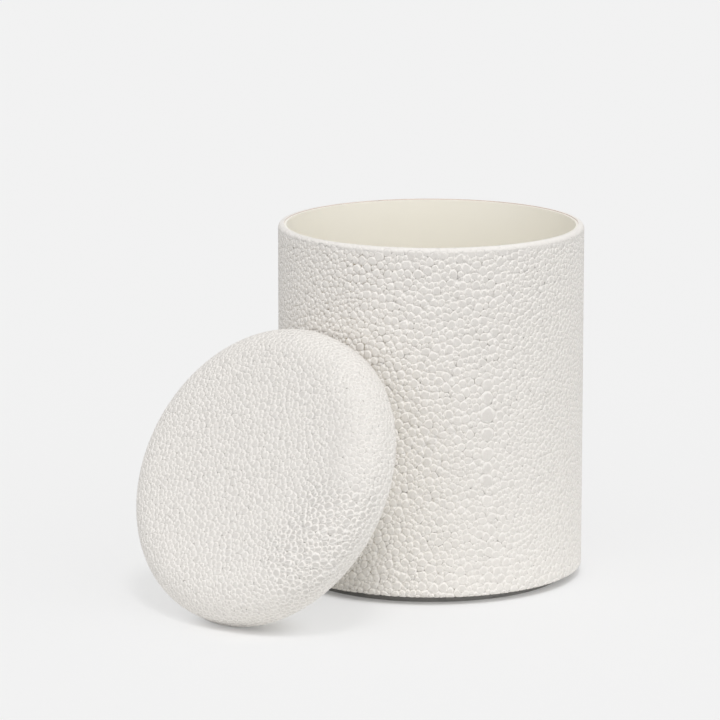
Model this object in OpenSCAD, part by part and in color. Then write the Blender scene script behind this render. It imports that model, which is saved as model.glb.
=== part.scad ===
// Lidded canister: a stiff board tube and a turned lid, both wrapped in pebbled shagreen sheet.
// The lid is off and leans on the canister's wall, with its lower edge on the same surface.
// The origin is on the canister's axis, on the surface that it stands on. The front faces -Y.

/* [Canister] */
// Outside diameter of the canister over its wrap
body_d = 114; // [100:0.5:125]
// Height of the rim above the surface that the canister stands on
body_h = 132.7; // [115:0.1:160]
// Thickness of the board tube
core_t = 1.4; // [1:0.1:3]
// Thickness of the board floor
base_t = 2.5; // [1.5:0.1:5]
// Rounding of the rim's outer edge
rim_round = 1.6; // [1.3:0.1:2]
// Rounding of the lower outer edge
foot_round = 1.1; // [0.9:0.1:2]

/* [Wrap and lining] */
// Thickness of the shagreen sheet
wrap_t = 0.8; // [0.5:0.1:0.8]
// Width of the sheet that is turned in under the canister and behind the lid
turn_in = 9; // [6:0.5:15]
// Thickness of the cream lining
lining_t = 0.9; // [0.5:0.1:1.5]
// Drop of the lining's top edge below the rim
lining_drop = 0.4; // [0.1:0.1:0.7]
// Width of the seam where the ends of the sheet meet
seam_w = 0.4; // [0.2:0.1:0.8]
// Depth of the seam
seam_depth = 0.3; // [0.1:0.1:0.4]
// Direction that the seam faces, counter-clockwise from the right
seam_angle = 111; // [60:1:160]

/* [Base pad] */
// Thickness of the dark pad that the canister stands on
pad_t = 3; // [2:0.1:6]
// Inset of the pad from the canister's side
pad_inset = 6.5; // [2:0.5:8]

/* [Lid] */
// Inset of the lid's side from the canister's side
lid_inset = 1.2; // [0:0.1:2]
// Thickness of the lid at the rim of its face
lid_t = 18; // [16:0.5:30]
// Width of the rounded shoulder
shoulder_w = 14; // [8:0.5:20]
// Height of the rounded shoulder
shoulder_h = 11.8; // [8:0.1:14]
// Rise of the face above its rim
crown_h = 0.6; // [0.2:0.1:2]
// Rounding of the lid's lower edge
lid_edge_round = 1.5; // [1:0.1:2]

/* [Lid plug] */
// Clearance between the plug and the canister's mouth, all round
plug_clear = 2.9; // [1:0.1:5]
// Height of the plug below the lid
plug_h = 5; // [3:0.5:10]
// Rounding of the plug's lower edge
plug_round = 0.8; // [0.3:0.1:2]

/* [Leaning lid] */
// Angle that the lid's face tips up from upright
lid_lean = 28.5; // [15:0.5:40]
// Direction from the canister to the lid, counter-clockwise from the right
lid_angle = 227.5; // [180:0.5:270]
// Gap between the leaning lid and the wall
rest_gap = 0.3; // [0.1:0.1:1]

/* [Hidden] */
$fn = 96;
arc_steps = 6;
shoulder_steps = 14;
crown_steps = 5;

wrap_color = [0.89, 0.88, 0.86];
cream_color = [0.94, 0.91, 0.83];
board_color = [0.72, 0.68, 0.60];
pad_color = [0.24, 0.24, 0.24];

body_r = body_d / 2;
core_r = body_r - wrap_t;
bore_r = core_r - core_t;
mouth_r = bore_r - lining_t;
board_z = pad_t + wrap_t;
floor_z = board_z + base_t;
core_top = body_h - wrap_t;
foot_band_r = body_r - turn_in;
lid_r = body_r - lid_inset;
lid_band_r = lid_r - turn_in;
plug_r = mouth_r - plug_clear;

// Height of the lid's back centre, at which its lowest edge meets the floor
edge_drop = (lid_r - lid_edge_round) * cos(lid_lean) + lid_edge_round * (1 - sin(lid_lean));
plug_corner = plug_round * (1 - sin(lid_lean) - cos(lid_lean));
plug_drop = plug_r * cos(lid_lean) + plug_h * sin(lid_lean) + plug_corner;
lid_z = max(edge_drop, plug_drop);

// How far the leaning lid reaches towards the canister from its back centre
edge_reach = (lid_r - lid_edge_round) * sin(lid_lean) + lid_edge_round * (1 - cos(lid_lean));
plug_reach = plug_r * sin(lid_lean) + plug_h * cos(lid_lean) + plug_corner;
lid_out = body_r + rest_gap + max(edge_reach, plug_reach);

// Points of an arc of an ellipse, from one angle to another
function ellipse_arc(c, a, b, from, to, steps) =
    [for (i = [0 : steps]) let (u = from + (to - from) * i / steps) c + [a * cos(u), b * sin(u)]];

// Points of an arc of a circle, from one angle to another
function round_arc(c, r, from, to) = ellipse_arc(c, r, r, from, to, arc_steps);

function backwards(list) = [for (i = [len(list) - 1 : -1 : 0]) list[i]];

// Section of the canister's side, from the turned-in foot to the rim, drawn in by an inset
function body_path(inset) = concat(
    [[foot_band_r, pad_t + inset]],
    round_arc([body_r - foot_round, pad_t + foot_round], foot_round - inset, -90, 0),
    round_arc([body_r - rim_round, body_h - rim_round], rim_round - inset, 0, 90),
    [[bore_r, body_h - inset]]);

// Section of the lid's skin, from the turned-in back to the middle of its face, drawn in by an inset
function lid_path(inset) = concat(
    [[lid_band_r, inset]],
    round_arc([lid_r - lid_edge_round, lid_edge_round], lid_edge_round - inset, -90, 0),
    ellipse_arc([lid_r - shoulder_w, lid_t - shoulder_h], shoulder_w - inset, shoulder_h - inset,
                0, 90, shoulder_steps),
    [for (i = [1 : crown_steps]) let (s = 1 - i / crown_steps)
        [(lid_r - shoulder_w) * s, lid_t - inset + crown_h * (1 - s * s)]]);

// Puts a piece of the lid where it leans
module leaning() {
    rotate([0, 0, lid_angle])
        translate([lid_out, 0, lid_z])
            rotate([0, 90 - lid_lean, 0])
                children();
}

// A flat disc between two heights
module disc(r, low, high) {
    translate([0, 0, low])
        cylinder(r = r, h = high - low);
}

// A straight tube between two heights
module tube(r_out, r_in, low, high) {
    rotate_extrude()
        translate([r_in, low])
            square([r_out - r_in, high - low]);
}

// Dark pad, with a low centre that fills the gap inside the turned-in sheet
module base_pad() {
    color(pad_color) {
        disc(body_r - pad_inset, 0, pad_t);
        disc(foot_band_r, 0, board_z);
    }
}

// Floor of the board tube
module base_board() {
    color(board_color)
        disc(bore_r, board_z, floor_z);
}

// Board tube, rounded at its outer edges under the wrap
module wall_core() {
    color(board_color)
        rotate_extrude()
            polygon(concat(
                [[bore_r, board_z]],
                [for (p = body_path(wrap_t)) if (p[0] > bore_r) p],
                [[bore_r, core_top]]));
}

// Shagreen sheet round the tube, over its rim and in under its foot, with a seam at the back
module outer_wrap() {
    color(wrap_color)
        difference() {
            rotate_extrude()
                polygon(concat(body_path(0), backwards(body_path(wrap_t))));
            rotate([0, 0, seam_angle])
                translate([body_r - seam_depth, -seam_w / 2, 0])
                    cube([2 * seam_depth, seam_w, body_h - rim_round]);
        }
}

// Cream lining of the wall
module wall_lining() {
    color(cream_color)
        tube(bore_r, mouth_r, floor_z, body_h - lining_drop);
}

// Cream lining of the floor
module floor_lining() {
    color(cream_color)
        disc(mouth_r, floor_z, floor_z + lining_t);
}

// Turned core of the lid
module lid_core() {
    color(board_color)
        leaning()
            rotate_extrude()
                polygon(concat([[0, wrap_t]], lid_path(wrap_t)));
}

// Shagreen sheet over the lid's face and side, turned in behind it
module lid_wrap() {
    color(wrap_color)
        leaning()
            rotate_extrude()
                polygon(concat(lid_path(0), backwards(lid_path(wrap_t))));
}

// Disc that locates the lid in the mouth, with a low centre that meets the core
module lid_plug() {
    color(board_color)
        leaning() {
            disc(plug_r - lining_t, lining_t - plug_h, 0);
            disc(lid_band_r, lining_t - plug_h, wrap_t);
        }
}

// Cream lining over the plug's face and edge
module plug_lining() {
    color(cream_color)
        leaning()
            rotate_extrude()
                polygon(concat(
                    [[0, -plug_h]],
                    round_arc([plug_r - plug_round, plug_round - plug_h], plug_round, -90, 0),
                    [[plug_r, 0], [plug_r - lining_t, 0],
                     [plug_r - lining_t, lining_t - plug_h], [0, lining_t - plug_h]]));
}

base_pad();
base_board();
wall_core();
outer_wrap();
wall_lining();
floor_lining();
lid_core();
lid_wrap();
lid_plug();
plug_lining();
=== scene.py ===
"""Finish, studio and camera for a lidded canister wrapped in pebbled shagreen sheet.

The shagreen is modelled pebble by pebble. Discs of mixed sizes are scattered on the flat sheet,
their power diagram gives each pebble its outline, and the flat sheet is then laid over the
section of the canister's side or of the lid.
"""
import bisect
import math
import random

import bpy
from mathutils import Matrix, Vector, kdtree


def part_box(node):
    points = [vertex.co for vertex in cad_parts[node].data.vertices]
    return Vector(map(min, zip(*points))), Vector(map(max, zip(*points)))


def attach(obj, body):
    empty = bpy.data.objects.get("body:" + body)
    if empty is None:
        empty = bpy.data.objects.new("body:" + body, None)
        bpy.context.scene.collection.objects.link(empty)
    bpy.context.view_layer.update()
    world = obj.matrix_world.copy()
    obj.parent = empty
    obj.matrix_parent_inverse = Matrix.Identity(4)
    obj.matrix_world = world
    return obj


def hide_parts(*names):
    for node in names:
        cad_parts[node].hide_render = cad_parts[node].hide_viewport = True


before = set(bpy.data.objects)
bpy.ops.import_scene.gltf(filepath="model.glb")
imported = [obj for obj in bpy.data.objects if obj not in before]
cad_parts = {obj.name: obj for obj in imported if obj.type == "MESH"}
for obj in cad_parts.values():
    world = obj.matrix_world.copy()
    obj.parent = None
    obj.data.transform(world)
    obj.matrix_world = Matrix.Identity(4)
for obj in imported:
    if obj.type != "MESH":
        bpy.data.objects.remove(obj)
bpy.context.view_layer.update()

MM = 0.001

# Sizes of the canister's wrap, as the solids have them
WRAP_T = 0.8 * MM
TURN_IN = 9 * MM
RIM_ROUND = 1.6 * MM
FOOT_ROUND = 1.1 * MM
SEAM_W = 0.4 * MM
SEAM_ANGLE = math.radians(111)

# Sizes of the lid, as the solids have them
LID_INSET = 1.2 * MM
LID_T = 18 * MM
SHOULDER_W = 14 * MM
SHOULDER_H = 11.8 * MM
CROWN_H = 0.6 * MM
LID_EDGE_ROUND = 1.5 * MM
PLUG_CLEAR = 2.9 * MM
PLUG_H = 5 * MM
PLUG_ROUND = 0.8 * MM
LID_LEAN = math.radians(28.5)
LID_ANGLE = math.radians(227.5)
REST_GAP = 0.3 * MM


def outer_radius(node):
    """Outside radius of a round upright solid of the fixed frame."""
    low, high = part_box(node)
    return (high.x - low.x) / 2


# Canister sizes read from the fixed frame
BODY_R = outer_radius("outer_wrap")
BORE_R = outer_radius("wall_lining")
MOUTH_R = outer_radius("floor_lining")
FOOT_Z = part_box("outer_wrap")[0].z
RIM_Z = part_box("outer_wrap")[1].z
LID_R = BODY_R - LID_INSET
PLUG_R = MOUTH_R - PLUG_CLEAR

# Pieces of each arc and of the crown, in the sections
EDGE_STEPS = 6
RIM_STEPS = 8
CROWN_STEPS = 8
SHOULDER_STEPS = 16

# Discs of each round: width as a share of the local pitch, and how densely they are tried
SIZE_ROUNDS = ((1.25, 0.2), (1.1, 0.5), (0.94, 1.0), (0.78, 2.0), (0.62, 4.0), (0.48, 6.0))
# Least distance between the middles of two discs, as a share of their two radii together
DISC_GAP = 0.97
# Side of a square of the grid that finds near discs, in least pitches
GRID_STEP = 4
# Reach of a disc's first outline and of the search for its neighbours, in radii
OUTLINE_REACH = 4
NEIGHBOUR_REACH = 7
# Least pitch and random seed of the two sheets
WALL_FINEST = 1.75 * MM
WALL_SEED = 7
LID_FINEST = 1.85 * MM
LID_SEED = 21

# Pitch of the wall's pebbles in millimetres. Left and right are seen from the front, with the spine
# between them, and far is towards the back.
PITCH_LEFT = 2.45
PITCH_FAR_LEFT = 2.1
PITCH_RIGHT = 1.9
PITCH_LOW_RIGHT = 2.35
PITCH_FAR_RIGHT = 1.75
# Pitch of the lid's pebbles in millimetres, in the middle, at the side and in the gathers
PITCH_MIDDLE = 2.1
PITCH_SIDE = 1.85
PITCH_GATHERS = 2.3

# Where the pitch changes: turns from the spine in radians, and shares of the sheet's height or radius
FAR_RIGHT = (0.6, 1.2)
FAR_LEFT = (0.5, 1.2)
SPINE_RIGHT = (0.0, 0.35)
LOW_DOWN = (0.08, 0.3)
MIDDLE_TO_SIDE = (0.3, 0.7)

# How strongly the pebbles stand out, where 1 is their ordinary relief. Above about 1 the material also
# paints the tops lighter, which is painted light on the wall's shaded left.
CRISP_MOST = 1.9
CRISP_RIGHT = 0.92
CRISP_LEFT = 2.1
CRISP_FOOT = 0.75
CRISP_TOP = 1.15
CRISP_RIM = 0.15
CRISP_LID = 0.84
# Where that changes on the wall: turns from the spine in radians, shares of the sheet's height, and
# distances from its upper end
SPINE_TO_LEFT = (0.1, 1.3)
HEIGHT_FADES = (0.1, 0.5)
FOOT_TO_TOP = (0.15, 0.95)
RIM_FADES = (-4.2 * MM, -2.6 * MM)

# A smoother patch of the lid: distances from its middle in millimetres, directions in radians
SMOOTH_LOSS = 0.3
SMOOTH_RISES = (36, 42)
SMOOTH_FALLS = (48, 54)
SMOOTH_STARTS = (1.35, 1.65)
SMOOTH_ENDS = (2.1, 2.5)

# Gathers of the lid's sheet over its lower right shoulder: their phase in a turn, their curl, their
# added relief, distances from the middle in millimetres and directions in radians
GATHER_TURNS = 43
GATHER_CURL = -1.0
GATHER_RELIEF = 0.3
GATHER_RISES = (29, 39)
GATHER_FALLS = (60, 66)
GATHER_STARTS = (0.5, 0.85)
GATHER_ENDS = (1.45, 1.75)

# A pebble's profile: insets of its top and of its brow from the groove, as a least width plus a
# share of its radius, depths as shares of the pitch, and how far the surface tilts at each
TOP_LEAST = 0.14 * MM
TOP_SHARE = 0.3
BROW_LEAST = 0.06 * MM
BROW_SHARE = 0.12
BROW_DEPTH = 0.05
GROOVE_DEPTH = 0.16
PIT_DEPTH = 0.24
TOP_TILT = 0.1
BROW_TILT = 0.95
GROOVE_TILT = 1.7
# Share of the corners of grooves that are pits, at ordinary relief
PIT_SHARE = 0.12
# Most distance of the top's and the brow's corners from the middle, in radii
ROUND_TOP = 1.0
ROUND_BROW = 1.16
# Least share of the way from the middle that an inset leaves
LEAST_PULL = 0.4
# Length of an outline's edge, in radii, above which the brow has two corners on it
LONG_EDGE = 0.8
# Distance at which corners of the grooves are one
WELD = 0.002 * MM

# Large pearls down the spine of the sheet: height above the floor and width, in millimetres
SPINE_ANGLE = math.radians(-69.5)
PEARLS = ((82, 4.2), (77, 4.4), (70.5, 6), (63.5, 5.2), (56, 5), (51, 4.2), (46, 4.8), (38.5, 4.4))

# Camera, as fitted to the canister's rims in the photograph
PICTURE_PX = 720
FOCAL_PX = 4534.6
SENSOR_MM = 36
CAMERA_DOWN = math.radians(11.362)
CAMERA_DISTANCE = 1698.6 * MM
CAMERA_AIM = Vector((-26.466, 0, 80.456)) * MM
FARTHEST_SEEN = 30

# Light: a sky that is brighter towards the front and below, and a soft key
SKY_MEAN = 0.85
SKY_TILT = Vector((0.088, -0.328, -0.25))
KEY_STRENGTH = 0.8
KEY_ANGLE = math.radians(14)
KEY_HEADING = Vector((-0.0815, 0.462, -0.883))

# Floor: half its width, and the distances from the axis over which the light it throws back fades
FLOOR_HALF = 6.0
BOUNCE_FADES = (0.1, 0.35)

# Share of the seen floor that takes no shadow, close to what stands on it and away from it
CLEAR_NEAR = 0.15
CLEAR_FAR = 0.65
# Where that share changes: distances from the canister's side, and from a point beside the lid's foot
CLEAR_AT_SIDE = (-4 * MM, 3 * MM)
CLEAR_AT_LID = (6 * MM, 28 * MM)
LID_FOOT_ASIDE = 9 * MM


def blend(a, b, t):
    """A value from a to b as t goes from 0 to 1."""
    return a + (b - a) * t


def ease(low, high, x):
    """A smooth step from 0 at low to 1 at high."""
    t = min(max((x - low) / (high - low), 0.0), 1.0)
    return t * t * (3 - 2 * t)


def window(rises, falls, x):
    """1 between a smooth rise and a smooth fall, and 0 outside them."""
    return ease(*rises, x) * (1 - ease(*falls, x))


def arc(centre, a, b, start, end, steps):
    """Points of an arc of an ellipse, from one angle to another in degrees."""
    turns = (math.radians(blend(start, end, i / steps)) for i in range(steps + 1))
    return [(centre[0] + a * math.cos(u), centre[1] + b * math.sin(u)) for u in turns]


class Section:
    """A sheet's section as points (radius, height), walked by length from its start.

    The outer face is on the right of the walk where outward is 1, and on the left where it is -1.
    """

    def __init__(self, points, outward):
        self.points = [Vector(p) for p in points]
        self.at = [0.0]
        for a, b in zip(self.points, self.points[1:]):
            self.at.append(self.at[-1] + (b - a).length)
        self.length = self.at[-1]
        self.outward = outward

    def tangent(self, i):
        """Direction of piece i of the section."""
        i = min(max(i, 0), len(self.points) - 2)
        return (self.points[i + 1] - self.points[i]).normalized()

    def place(self, length):
        """Point, tangent and outward normal at a length along the section."""
        i = min(max(bisect.bisect(self.at, length) - 1, 0), len(self.points) - 2)
        t = (length - self.at[i]) / (self.at[i + 1] - self.at[i])
        point = self.points[i].lerp(self.points[i + 1], t)
        before = self.tangent(i - 1) + self.tangent(i)
        after = self.tangent(i) + self.tangent(i + 1)
        along = before.normalized().lerp(after.normalized(), t).normalized()
        return point, along, Vector((along.y, -along.x)) * self.outward


def side_section():
    """Section of the canister's sheet, from the turned-in foot to the top of the rim."""
    foot = (BODY_R - FOOT_ROUND, FOOT_Z + FOOT_ROUND)
    rim = (BODY_R - RIM_ROUND, RIM_Z - RIM_ROUND)
    return Section(
        [(BODY_R - TURN_IN, FOOT_Z)]
        + arc(foot, FOOT_ROUND, FOOT_ROUND, -90, 0, EDGE_STEPS)
        + arc(rim, RIM_ROUND, RIM_ROUND, 0, 90, RIM_STEPS)
        + [(BORE_R, RIM_Z)],
        outward=1,
    )


def lid_section():
    """Section of the lid's sheet, from the middle of its face to the turned-in back."""
    flat_r = LID_R - SHOULDER_W
    steps = CROWN_STEPS
    crown = [(flat_r * i / steps, LID_T + CROWN_H * (1 - (i / steps) ** 2)) for i in range(steps)]
    shoulder = arc((flat_r, LID_T - SHOULDER_H), SHOULDER_W, SHOULDER_H, 90, 0, SHOULDER_STEPS)
    edge = (LID_R - LID_EDGE_ROUND, LID_EDGE_ROUND)
    return Section(
        crown
        + shoulder
        + arc(edge, LID_EDGE_ROUND, LID_EDGE_ROUND, 0, -90, EDGE_STEPS)
        + [(LID_R - TURN_IN, 0)],
        outward=-1,
    )


def lid_matrix():
    """Where the lid leans: its lower edge on the floor and its plug just clear of the wall."""
    lean_cos = math.cos(LID_LEAN)
    lean_sin = math.sin(LID_LEAN)
    drop = (LID_R - LID_EDGE_ROUND) * lean_cos + LID_EDGE_ROUND * (1 - lean_sin)
    corner = PLUG_ROUND * (1 - lean_sin - lean_cos)
    reach = PLUG_R * lean_sin + PLUG_H * lean_cos + corner
    turn = Matrix.Rotation(LID_ANGLE, 4, "Z")
    shift = Matrix.Translation((BODY_R + REST_GAP + reach, 0, drop))
    return turn @ shift @ Matrix.Rotation(math.pi / 2 - LID_LEAN, 4, "Y")


class Sheet:
    """A flat sheet of shagreen, and how it is laid over a solid.

    low and high are its box, and each edge (a, b, c) keeps it to where a x + b y is no more than c.
    pitch gives the pebbles' spacing at a point, crisp how strongly they stand out, gathers the
    phase and the share of the gathers, and lay the point in space, its two directions and its normal.
    Pearls are discs that are placed first.
    """

    def __init__(self, low, high, edges, pitch, crisp, lay, pearls=(), gathers=None):
        self.low = low
        self.high = high
        self.edges = edges
        self.pitch = pitch
        self.crisp = crisp
        self.lay = lay
        self.pearls = pearls
        self.gathers = gathers or (lambda x, y: (0.0, 0.0))

    def holds(self, x, y):
        """True where a point lies on the sheet."""
        return all(a * x + b * y <= c for a, b, c in self.edges)


def scatter(sheet, finest, seed):
    """Discs (x, y, radius) of mixed sizes, packed on the sheet with the largest first."""
    dice = random.Random(seed)
    step = finest * GRID_STEP
    grid = {}
    discs = []

    def put(x, y, r):
        discs.append((x, y, r))
        grid.setdefault((int(x // step), int(y // step)), []).append((x, y, r))

    def free(x, y, r):
        i, j = int(x // step), int(y // step)
        for m in (i - 1, i, i + 1):
            for n in (j - 1, j, j + 1):
                for px, py, pr in grid.get((m, n), ()):
                    if (px - x) ** 2 + (py - y) ** 2 < ((pr + r) * DISC_GAP) ** 2:
                        return False
        return True

    for x, y, r in sheet.pearls:
        put(x, y, r)
    area = (sheet.high[0] - sheet.low[0]) * (sheet.high[1] - sheet.low[1])
    for share, tries in SIZE_ROUNDS:
        for _ in range(int(tries * area / finest ** 2)):
            x = dice.uniform(sheet.low[0], sheet.high[0])
            y = dice.uniform(sheet.low[1], sheet.high[1])
            pitch = sheet.pitch(x, y)
            if dice.random() > (finest / pitch) ** 2 or not sheet.holds(x, y):
                continue
            r = pitch * share / 2
            if free(x, y, r):
                put(x, y, r)
    return discs


def clip(outline, a, b, c):
    """The part of a convex outline where a x + b y is no more than c."""
    kept = []
    px, py = outline[-1]
    before = a * px + b * py - c
    for x, y in outline:
        here = a * x + b * y - c
        if (here < 0) != (before < 0):
            t = before / (before - here)
            kept.append((px + t * (x - px), py + t * (y - py)))
        if here < 0:
            kept.append((x, y))
        px, py, before = x, y, here
    return kept


def power_cells(sheet, discs):
    """Each disc's cell: the part of the sheet that is nearest to it, weighed by its size."""
    tree = kdtree.KDTree(len(discs))
    for i, (x, y, _) in enumerate(discs):
        tree.insert((x, y, 0), i)
    tree.balance()
    cells = []
    for i, (x, y, r) in enumerate(discs):
        reach = r * OUTLINE_REACH
        outline = [(x - reach, y - reach), (x + reach, y - reach),
                   (x + reach, y + reach), (x - reach, y + reach)]
        near = sorted(tree.find_range((x, y, 0), r * NEIGHBOUR_REACH), key=lambda hit: hit[2])
        for (nx, ny, _), j, distance in near[1:]:
            nr = discs[j][2]
            limit = nx * nx + ny * ny - x * x - y * y + r * r - nr * nr
            outline = clip(outline, 2 * (nx - x), 2 * (ny - y), limit)
            if not outline:
                break
            farthest = max((px - x) ** 2 + (py - y) ** 2 for px, py in outline)
            if distance ** 2 > 4 * farthest + 4 * r * r:
                break
        for a, b, c in sheet.edges:
            if outline:
                outline = clip(outline, a, b, c)
        if len(outline) > 2:
            cells.append(((x, y, r), outline))
    return cells


class Builder:
    """Collects the sheet's corners and faces, with the data that each corner carries.

    relief is 1 on a pebble's top, 0.5 on its brow, 0 in the groove and -1 in a pit. crisp is how
    strongly the pebbles stand out there, phase and gather are the gathers' phase and share, and tint
    is each pebble's own chance value. flat holds each corner's place and directions on the flat sheet.
    """

    def __init__(self, sheet, seed):
        self.sheet = sheet
        self.dice = random.Random(seed)
        self.verts = []
        self.relief = []
        self.crisp = []
        self.phase = []
        self.gather = []
        self.tint = []
        self.flat = []
        self.faces = []
        self.known = {}

    def corner(self, x, y, depth, relief, tint):
        """Adds one corner at a depth under the sheet's outer face."""
        point, along_x, along_y, up = self.sheet.lay(x, y)
        self.verts.append(point - up * depth)
        self.crisp.append(self.sheet.crisp(x, y))
        phase, gather = self.sheet.gathers(x, y)
        self.phase.append(phase)
        self.gather.append(gather)
        self.relief.append(relief)
        self.tint.append(tint)
        self.flat.append((x, y, along_x, along_y, up))
        return len(self.verts) - 1

    def shared(self, x, y):
        """The corner of the groove at a point, shared by the pebbles round it."""
        i, j = int(x // WELD), int(y // WELD)
        for m in (i - 1, i, i + 1):
            for n in (j - 1, j, j + 1):
                if (m, n) in self.known:
                    return self.known[(m, n)]
        crisp = min(self.sheet.crisp(x, y), CRISP_MOST)
        pitted = self.dice.random() < PIT_SHARE * crisp
        share, relief = (PIT_DEPTH, -1.0) if pitted else (GROOVE_DEPTH, 0.0)
        depth = share * self.sheet.pitch(x, y) * crisp
        self.known[(i, j)] = self.corner(x, y, depth, relief, 0.5)
        return self.known[(i, j)]

    def face(self, corners, normals, part, cut=0):
        """Adds one face to a part, with a normal for each of its corners. Cut is 1 on a cut edge."""
        self.faces.append((corners, normals, part, cut))

    def pebble(self, disc, outline, part):
        """Adds one pebble: a low top, a brow round it, and a steep side down to the groove."""
        low = [self.shared(x, y) for x, y in outline]
        spots = [(self.flat[i][0], self.flat[i][1], i) for k, i in enumerate(low) if i != low[k - 1]]
        if len(spots) < 3:
            return
        cx, cy, r = disc
        tint = self.dice.random()
        crisp = min(self.sheet.crisp(cx, cy), CRISP_MOST)
        brow_depth = BROW_DEPTH * self.sheet.pitch(cx, cy) * crisp
        brow_inset = BROW_LEAST + r * BROW_SHARE
        top_inset = TOP_LEAST + r * TOP_SHARE

        def inward(x, y, inset, most, depth, relief):
            out = math.hypot(x - cx, y - cy)
            pull = min(max(1 - inset / out, LEAST_PULL), r * most / out)
            return self.corner(cx + (x - cx) * pull, cy + (y - cy) * pull, depth, relief, tint)

        brows = []
        tops = []
        for k, (x, y, i) in enumerate(spots):
            nx, ny, _ = spots[(k + 1) % len(spots)]
            shares = (0.25, 0.75) if math.hypot(nx - x, ny - y) > r * LONG_EDGE else (0.5,)
            brows.append([inward(blend(x, nx, t), blend(y, ny, t), brow_inset, ROUND_BROW, brow_depth, 0.5)
                          for t in shares])
            tops.append(inward((x + nx) / 2, (y + ny) / 2, top_inset, ROUND_TOP, 0.0, 1.0))
        middle = self.corner(cx, cy, 0.0, 1.0, tint)
        lean = {middle: self.flat[middle][4]}

        def face(*corners):
            self.face(corners, [lean[i] for i in corners], part)

        brow_ring = sum(brows, [])
        groove_ring = [i for _, _, i in spots]
        for tilt, ring in ((TOP_TILT, tops), (BROW_TILT, brow_ring), (GROOVE_TILT, groove_ring)):
            for i in ring:
                x, y, along_x, along_y, up = self.flat[i]
                out = (along_x * (x - cx) + along_y * (y - cy)).normalized()
                lean[i] = (up + out * tilt * crisp).normalized()
        for k, brow in enumerate(brows):
            here = spots[k][2]
            there = spots[(k + 1) % len(spots)][2]
            face(here, there, *reversed(brow))
            face(here, brow[0], brows[k - 1][-1])
            face(brows[k - 1][-1], brow[0], tops[k], tops[k - 1])
            if len(brow) > 1:
                face(*brow, tops[k])
            face(middle, tops[k - 1], tops[k])

    def close_edges(self):
        """Turns the sheet's open edges in, so that its thickness shows."""
        sides = {}
        for corners, _, part, _ in self.faces:
            for k, i in enumerate(corners):
                sides[(corners[k - 1], i)] = part
        open_edges = [edge for edge in sides if edge[::-1] not in sides]
        # A zero normal leaves a cut edge's corner the normal of its faces
        no_normals = [(0.0, 0.0, 0.0)] * 4
        inner = {}
        for i in sorted({i for edge in open_edges for i in edge}):
            x, y = self.flat[i][:2]
            inner[i] = self.corner(x, y, WRAP_T, 0.0, 0.5)
        for a, b in open_edges:
            self.face((b, a, inner[a], inner[b]), no_normals, sides[(a, b)], 1)

    def piece(self, name, part, materials):
        """Makes one part's mesh object, with the second material on the cut edges."""
        faces = [face for face in self.faces if face[2] == part]
        used = sorted({i for face in faces for i in face[0]})
        place = {i: k for k, i in enumerate(used)}
        mesh = bpy.data.meshes.new(name)
        mesh.from_pydata([self.verts[i] for i in used], [], [[place[i] for i in face[0]] for face in faces])
        for key in ("relief", "tint", "crisp", "phase", "gather"):
            values = getattr(self, key)
            layer = mesh.attributes.new(key, "FLOAT", "POINT")
            layer.data.foreach_set("value", [values[i] for i in used])
        mesh.shade_smooth()
        mesh.normals_split_custom_set([normal for face in faces for normal in face[1]])
        for material in materials:
            mesh.materials.append(material)
        mesh.polygons.foreach_set("material_index", [face[3] for face in faces])
        piece = bpy.data.objects.new(name, mesh)
        bpy.context.collection.objects.link(piece)
        return piece


def pebbled(names, sheet, finest, seed, materials):
    """Builds one sheet of shagreen as meshes of pebbles, split along its length between the names."""
    builder = Builder(sheet, seed + 1)
    share = (sheet.high[0] - sheet.low[0]) / len(names)
    for disc, outline in power_cells(sheet, scatter(sheet, finest, seed)):
        part = min(int((disc[0] - sheet.low[0]) / share), len(names) - 1)
        builder.pebble(disc, outline, part)
    builder.close_edges()
    return [builder.piece(name, part, materials) for part, name in enumerate(names)]


def wall_sheet():
    """The canister's sheet: a long strip whose ends meet in a seam at the back."""
    section = side_section()
    round_length = 2 * math.pi * BODY_R
    spine_x = ((SPINE_ANGLE - SEAM_ANGLE) % (2 * math.pi)) * BODY_R
    wall_start = TURN_IN - FOOT_ROUND + FOOT_ROUND * math.pi / 2
    low = (SEAM_W / 2, 0.0)
    high = (round_length - SEAM_W / 2, section.length)

    def pitch(x, y):
        away = (x - spine_x) / BODY_R
        low_down = 1 - ease(*LOW_DOWN, y / section.length)
        near = blend(PITCH_RIGHT, PITCH_LOW_RIGHT, low_down)
        right = blend(near, PITCH_FAR_RIGHT, ease(*FAR_RIGHT, away))
        left = blend(PITCH_LEFT, PITCH_FAR_LEFT, ease(*FAR_LEFT, -away))
        return blend(left, right, ease(*SPINE_RIGHT, away)) * MM

    def crisp(x, y):
        away = (x - spine_x) / BODY_R
        shaded = blend(CRISP_RIGHT, CRISP_LEFT, ease(*SPINE_TO_LEFT, -away))
        by_height = blend(CRISP_FOOT, CRISP_TOP, ease(*FOOT_TO_TOP, y / section.length))
        height = blend(by_height, 1.0, ease(*HEIGHT_FADES, -away))
        return shaded * height * blend(1.0, CRISP_RIM, ease(*RIM_FADES, y - section.length))

    def lay(x, y):
        point, along, out = section.place(y)
        angle = SEAM_ANGLE + x / BODY_R
        ray = Vector((math.cos(angle), math.sin(angle), 0))
        side = Vector((-ray.y, ray.x, 0))
        rise = Vector((0, 0, 1))
        return (ray * point.x + rise * point.y, side, ray * along.x + rise * along.y,
                ray * out.x + rise * out.y)

    pearls = [(spine_x, wall_start + z * MM - FOOT_Z - FOOT_ROUND, wide * MM / 2) for z, wide in PEARLS]
    edges = [(-1, 0, -low[0]), (1, 0, high[0]), (0, -1, 0.0), (0, 1, high[1])]
    return Sheet(low, high, edges, pitch, crisp, lay, pearls)


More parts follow.
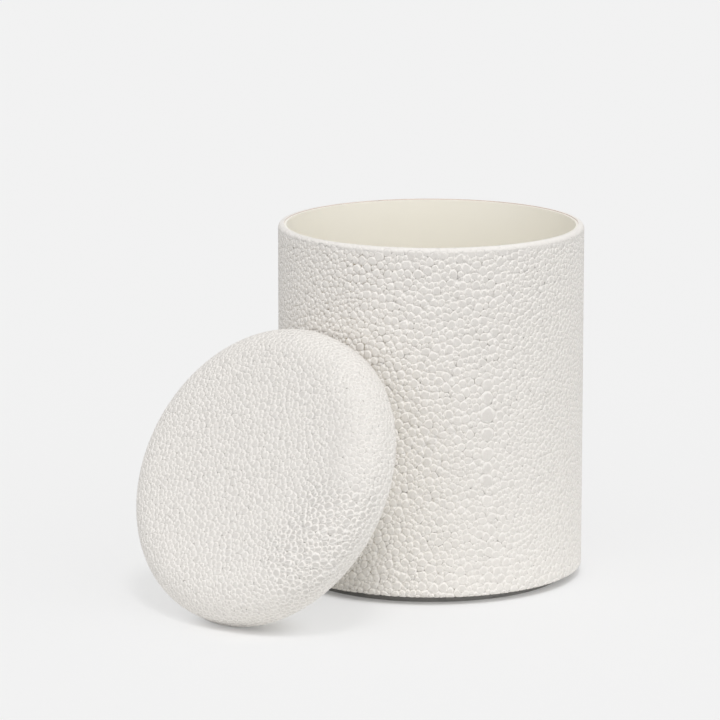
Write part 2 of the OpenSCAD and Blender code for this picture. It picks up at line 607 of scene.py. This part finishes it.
def lid_sheet():
    """The lid's sheet: a disc, laid over the face and drawn in at the side and the back."""
    section = lid_section()
    frame_at = lid_matrix()
    turn = frame_at.to_3x3()
    size = section.length
    sides = 96

    def gathers(x, y):
        away = max(math.hypot(x, y), MM)
        angle = math.atan2(y, x)
        share = window(GATHER_RISES, GATHER_FALLS, away / MM) * window(GATHER_STARTS, GATHER_ENDS, angle)
        return GATHER_TURNS * (angle + GATHER_CURL * math.log(away / size)), share

    def pitch(x, y):
        even = blend(PITCH_MIDDLE, PITCH_SIDE, ease(*MIDDLE_TO_SIDE, math.hypot(x, y) / size))
        return blend(even, PITCH_GATHERS, gathers(x, y)[1]) * MM

    def crisp(x, y):
        away = math.hypot(x, y) / MM
        angle = math.atan2(y, x)
        smooth = window(SMOOTH_RISES, SMOOTH_FALLS, away) * window(SMOOTH_STARTS, SMOOTH_ENDS, angle)
        return CRISP_LID * (1 - SMOOTH_LOSS * smooth) * (1 + GATHER_RELIEF * gathers(x, y)[1])

    def lay(x, y):
        away = math.hypot(x, y)
        ray = Vector((x, y, 0)) / away if away > 0 else Vector((1, 0, 0))
        point, along, out = section.place(min(away, size))
        squeeze = point.x / away if away > 0 else 1.0
        side = Vector((-ray.y, ray.x, 0))
        rise = Vector((0, 0, 1))
        down = ray * along.x + rise * along.y
        along_x = down * ray.x + side * side.x * squeeze
        along_y = down * ray.y + side * side.y * squeeze
        return (frame_at @ (ray * point.x + rise * point.y), turn @ along_x, turn @ along_y,
                turn @ (ray * out.x + rise * out.y))

    angles = [2 * math.pi * i / sides for i in range(sides)]
    edges = [(math.cos(u), math.sin(u), size * math.cos(math.pi / sides)) for u in angles]
    return Sheet((-size, -size), (size, size), edges, pitch, crisp, lay, gathers=gathers)


class Nodes:
    """The node tree of a material or a world, with short calls to add and join nodes."""

    def __init__(self, owner, output="ShaderNodeOutputMaterial"):
        self.owner = owner
        owner.use_nodes = True
        self.tree = owner.node_tree
        self.tree.nodes.clear()
        self.output = self.add(output)

    @classmethod
    def material(cls, name):
        """Starts a new material."""
        return cls(bpy.data.materials.new(name))

    def add(self, kind, **values):
        """Adds a node and sets its properties and its sockets by name."""
        node = self.tree.nodes.new(kind)
        for key, value in values.items():
            if hasattr(node, key):
                setattr(node, key, value)
            else:
                node.inputs[key.replace("_", " ")].default_value = value
        return node

    def join(self, source, target):
        """Joins an output socket to an input socket."""
        self.tree.links.new(source, target)

    def spot(self, scale, detail=2.0, rough=0.5):
        """Noise in the object's own metres."""
        place = self.add("ShaderNodeTexCoord")
        noise = self.add("ShaderNodeTexNoise", Scale=scale, Detail=detail, Roughness=rough)
        self.join(place.outputs["Object"], noise.inputs["Vector"])
        return noise.outputs["Fac"]

    def carried(self, name):
        """A value that the mesh carries at its corners."""
        return self.add("ShaderNodeAttribute", attribute_name=name).outputs["Fac"]

    def math(self, operation, *values):
        """One step of arithmetic on sockets and numbers."""
        node = self.add("ShaderNodeMath", operation=operation)
        for value, socket in zip(values, node.inputs):
            if isinstance(value, (int, float)):
                socket.default_value = value
            else:
                self.join(value, socket)
        return node.outputs[0]

    def seen(self):
        """1 for rays from the camera, mirrored ones and those let through, and 0 for light."""
        path = self.add("ShaderNodeLightPath").outputs
        mirrored = self.math("MAXIMUM", path["Is Glossy Ray"], path["Is Transmission Ray"])
        return self.math("MAXIMUM", path["Is Camera Ray"], mirrored)

    def distance(self, point):
        """Distance from a fixed point, in the object's own metres."""
        node = self.add("ShaderNodeVectorMath", operation="DISTANCE")
        self.join(self.add("ShaderNodeTexCoord").outputs["Object"], node.inputs[0])
        node.inputs[1].default_value = point
        return node.outputs["Value"]

    def mix(self, factor, first, second):
        """Mixes two colours by a socket. The node's colours are its inputs 6 and 7 and its output 2."""
        node = self.add("ShaderNodeMix", data_type="RGBA")
        self.join(factor, node.inputs[0])
        for value, socket in ((first, node.inputs[6]), (second, node.inputs[7])):
            if isinstance(value, tuple):
                socket.default_value = (*value, 1.0)
            else:
                self.join(value, socket)
        return node.outputs[2]

    def ramp(self, source, low, high, to_low=0.0, to_high=1.0):
        """Maps a socket's range smoothly to another."""
        node = self.add("ShaderNodeMapRange", interpolation_type="SMOOTHSTEP")
        for key, value in zip(("From Min", "From Max", "To Min", "To Max"), (low, high, to_low, to_high)):
            node.inputs[key].default_value = value
        self.join(source, node.inputs["Value"])
        return node.outputs["Result"]

    def bump(self, height, distance, strength=1.0, under=None):
        """Bump from a height socket, in metres."""
        node = self.add("ShaderNodeBump", Strength=strength, Distance=distance)
        self.join(height, node.inputs["Height"])
        if under is not None:
            self.join(under, node.inputs["Normal"])
        return node.outputs["Normal"]

    def surface(self, colour, roughness, normal, **values):
        """Ends the tree in a Principled shader."""
        shader = self.add("ShaderNodeBsdfPrincipled", Roughness=roughness)
        for key, value in values.items():
            shader.inputs[key.replace("_", " ")].default_value = value
        self.join(colour, shader.inputs["Base Color"])
        self.join(normal, shader.inputs["Normal"])
        self.join(shader.outputs["BSDF"], self.output.inputs["Surface"])
        return self.owner


def linear(red, green, blue):
    """A colour written from 0 to 255 as the eye sees it, in the renderer's linear values."""
    def one(value):
        value /= 255
        return value / 12.92 if value <= 0.04045 else ((value + 0.055) / 1.055) ** 2.4
    return one(red), one(green), one(blue)


def shagreen():
    """Pebbled shagreen: grey-beige tops, worn pale in the grooves, dark pits and pale creases in the
    gathers; painted light lightens the tops on the wall's shaded left, and painted shade darkens them in
    the gathers.
    """
    nodes = Nodes.material("shagreen")
    grey_beige = linear(229, 225, 220)
    light_beige = linear(236, 232, 227)
    painted_shade = linear(209, 205, 200)
    pale = linear(250, 246, 241)
    worn_white = linear(255, 252, 248)
    pit = linear(150, 145, 137)
    crisp = nodes.carried("crisp")
    height = nodes.math("ADD", nodes.carried("relief"), nodes.math("SUBTRACT", nodes.spot(900), 0.5))
    gather = nodes.carried("gather")
    plain = nodes.mix(nodes.carried("tint"), grey_beige, light_beige)
    # Painted shade: the tops are darkened across the gathers of the lid's lower right shoulder
    shaded = nodes.mix(nodes.math("MULTIPLY", gather, 0.6), plain, painted_shade)
    # Painted light: the tops are made paler where the relief is strongest, which is on the shaded left of
    # the wall
    painted_light_left = nodes.ramp(crisp, 1.05, 1.6, 0.0, 0.3)
    faded_relief = nodes.ramp(crisp, 0.2, 0.5, 0.9, 0.0)
    paleness_and_painted_light = nodes.math("ADD", painted_light_left, faded_relief)
    tops = nodes.mix(nodes.math("SUBTRACT", paleness_and_painted_light, gather), shaded, pale)
    rims = nodes.mix(nodes.math("MULTIPLY", crisp, 0.8), tops, worn_white)
    edges = nodes.mix(nodes.ramp(height, 0.6, 0.95), rims, tops)
    pebbles = nodes.mix(nodes.ramp(height, -1.1, -0.3), pit, edges)
    wobble = nodes.math("MULTIPLY", nodes.spot(70), 7)
    wave = nodes.math("ABSOLUTE", nodes.math("SINE", nodes.math("ADD", nodes.carried("phase"), wobble)))
    worn = nodes.ramp(nodes.spot(160), 0.3, 0.5)
    fold = nodes.math("MULTIPLY", nodes.ramp(wave, 0.1, 0.5, 0.6, 0.0), gather)
    crease = nodes.math("MULTIPLY", fold, worn)
    colour = nodes.mix(crease, pebbles, worn_white)
    grain = nodes.bump(nodes.spot(1900, detail=3), 0.19 * MM, 1.0)
    waves = nodes.bump(nodes.spot(520), 0.2 * MM, 0.7, under=grain)
    folds = nodes.bump(crease, 0.12 * MM, 1.0, under=waves)
    return nodes.surface(colour, 0.55, folds, Specular_IOR_Level=0.4)


def raw_edge():
    """Cut edge of the sheet: unfinished pinkish-brown hide."""
    nodes = Nodes.material("raw_edge")
    colour = nodes.mix(nodes.spot(1500, detail=3), linear(208, 192, 182), linear(226, 212, 203))
    return nodes.surface(colour, 0.8, nodes.bump(nodes.spot(2500, detail=3), 0.05 * MM))


def cream():
    """Smooth cream lining with a faint grain."""
    nodes = Nodes.material("cream_lining")
    colour = nodes.mix(nodes.spot(30), linear(254, 250, 239), linear(255, 252, 243))
    grain = nodes.bump(nodes.spot(1400, detail=3), 0.02 * MM, 0.5)
    waves = nodes.bump(nodes.spot(110, detail=1), 0.15 * MM, 0.4, under=grain)
    return nodes.surface(colour, 0.42, waves, Specular_IOR_Level=0.45)


def felt():
    """Dark grey felt of the base pad, with short fuzzy fibres."""
    nodes = Nodes.material("base_felt")
    colour = nodes.mix(nodes.spot(2600, detail=4, rough=0.7), linear(128, 127, 125), linear(166, 165, 162))
    fuzz = nodes.bump(nodes.spot(3400, detail=4, rough=0.8), 0.25 * MM, 0.9)
    return nodes.surface(colour, 0.95, fuzz, Specular_IOR_Level=0.2)


def board():
    """Grey-brown pasteboard, which the sheets hide."""
    nodes = Nodes.material("board")
    colour = nodes.mix(nodes.spot(900, detail=4), linear(168, 154, 128), linear(190, 177, 150))
    return nodes.surface(colour, 0.9, nodes.bump(nodes.spot(1500, detail=3), 0.05 * MM))


def fibreboard():
    """Turned fibreboard, which the sheets hide."""
    nodes = Nodes.material("turned_core")
    colour = nodes.mix(nodes.spot(1200, detail=4), linear(163, 132, 96), linear(190, 160, 122))
    return nodes.surface(colour, 0.85, nodes.bump(nodes.spot(2000, detail=3), 0.05 * MM))


# Colour of the floor and the background, as the camera and mirrored rays see them
FLOOR_SEEN = linear(242, 242, 242)


def studio_floor():
    """A pale floor that keeps the object's soft shadow near what stands on it; away from that, a painted
    glow of the floor's own colour lifts the shadow.
    """
    nodes = Nodes.material("studio_floor")
    seen = nodes.seen()
    from_axis = nodes.distance(Vector((0, 0, 0)))
    from_lid = nodes.distance(lid_matrix() @ Vector((LID_R, LID_FOOT_ASIDE, 0)))
    bounce = nodes.mix(nodes.ramp(from_axis, *BOUNCE_FADES), linear(248, 248, 247), linear(170, 170, 170))
    side_near, side_far = (BODY_R + out for out in CLEAR_AT_SIDE)
    by_canister = nodes.ramp(from_axis, side_near, side_far, CLEAR_NEAR, CLEAR_FAR)
    by_lid = nodes.ramp(from_lid, *CLEAR_AT_LID, CLEAR_NEAR, CLEAR_FAR)
    # Painted light: the share of the seen floor drawn as a glow of its own colour, which lifts the shadow
    # away from the canister and the lid's foot
    clear = nodes.math("MULTIPLY", seen, nodes.math("MINIMUM", by_canister, by_lid))
    shader = nodes.add("ShaderNodeBsdfDiffuse")
    nodes.join(nodes.mix(seen, bounce, linear(252, 252, 252)), shader.inputs["Color"])
    painted_glow = nodes.add("ShaderNodeEmission", Color=(*FLOOR_SEEN, 1.0))
    both = nodes.add("ShaderNodeMixShader")
    nodes.join(clear, both.inputs[0])
    nodes.join(shader.outputs["BSDF"], both.inputs[1])
    nodes.join(painted_glow.outputs["Emission"], both.inputs[2])
    nodes.join(both.outputs["Shader"], nodes.output.inputs["Surface"])
    half = FLOOR_HALF
    mesh = bpy.data.meshes.new("studio_floor")
    mesh.from_pydata([(-half, -half, 0), (half, -half, 0), (half, half, 0), (-half, half, 0)],
                     [], [(0, 1, 2, 3)])
    mesh.materials.append(nodes.owner)
    plane = bpy.data.objects.new("studio_floor", mesh)
    bpy.context.collection.objects.link(plane)


def studio_light():
    """Plain light from all round, brighter from the front and below, and a soft key from above."""
    world = bpy.data.worlds.new("studio")
    bpy.context.scene.world = world
    nodes = Nodes(world, "ShaderNodeOutputWorld")
    facing = nodes.add("ShaderNodeVectorMath", operation="DOT_PRODUCT")
    nodes.join(nodes.add("ShaderNodeTexCoord").outputs["Generated"], facing.inputs[0])
    facing.inputs[1].default_value = SKY_TILT
    sky = nodes.math("ADD", facing.outputs["Value"], SKY_MEAN)
    background = nodes.add("ShaderNodeBackground")
    nodes.join(nodes.mix(nodes.seen(), sky, FLOOR_SEEN), background.inputs["Color"])
    nodes.join(background.outputs["Background"], nodes.output.inputs["Surface"])
    key = bpy.data.lights.new("key", "SUN")
    key.energy = KEY_STRENGTH
    key.angle = KEY_ANGLE
    lamp = bpy.data.objects.new("key", key)
    lamp.rotation_euler = KEY_HEADING.to_track_quat("-Z", "Y").to_euler()
    bpy.context.collection.objects.link(lamp)


def camera():
    """The photograph's camera."""
    data = bpy.data.cameras.new("camera")
    data.sensor_width = SENSOR_MM
    data.lens = FOCAL_PX / PICTURE_PX * SENSOR_MM
    data.clip_end = FARTHEST_SEEN
    eye = bpy.data.objects.new("camera", data)
    look = Vector((0, math.cos(CAMERA_DOWN), -math.sin(CAMERA_DOWN)))
    eye.location = CAMERA_AIM - look * CAMERA_DISTANCE
    eye.rotation_euler = (math.pi / 2 - CAMERA_DOWN, 0, 0)
    bpy.context.collection.objects.link(eye)
    bpy.context.scene.camera = eye


def dress(node, material):
    """Gives a solid from the frame its material."""
    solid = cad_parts[node]
    solid.data.materials.clear()
    solid.data.materials.append(material)


camera()
studio_light()
studio_floor()

shagreen_looks = (shagreen(), raw_edge())
wall_names = [f"canister_shagreen_{letter}" for letter in "abcde"]
lid_names = [f"lid_shagreen_{letter}" for letter in "ab"]
wall = pebbled(wall_names, wall_sheet(), WALL_FINEST, WALL_SEED, shagreen_looks)
lid = pebbled(lid_names, lid_sheet(), LID_FINEST, LID_SEED, shagreen_looks)
for pieces, node in ((wall, "outer_wrap"), (lid, "lid_wrap")):
    for piece in pieces:
        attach(piece, "root")
        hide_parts(node)

cream_look = cream()
for node in ("wall_lining", "floor_lining", "plug_lining"):
    dress(node, cream_look)
dress("base_pad", felt())
board_look = board()
for node in ("base_board", "wall_core"):
    dress(node, board_look)
fibre_look = fibreboard()
for node in ("lid_core", "lid_plug"):
    dress(node, fibre_look)

bpy.context.scene.view_settings.view_transform = "Standard"
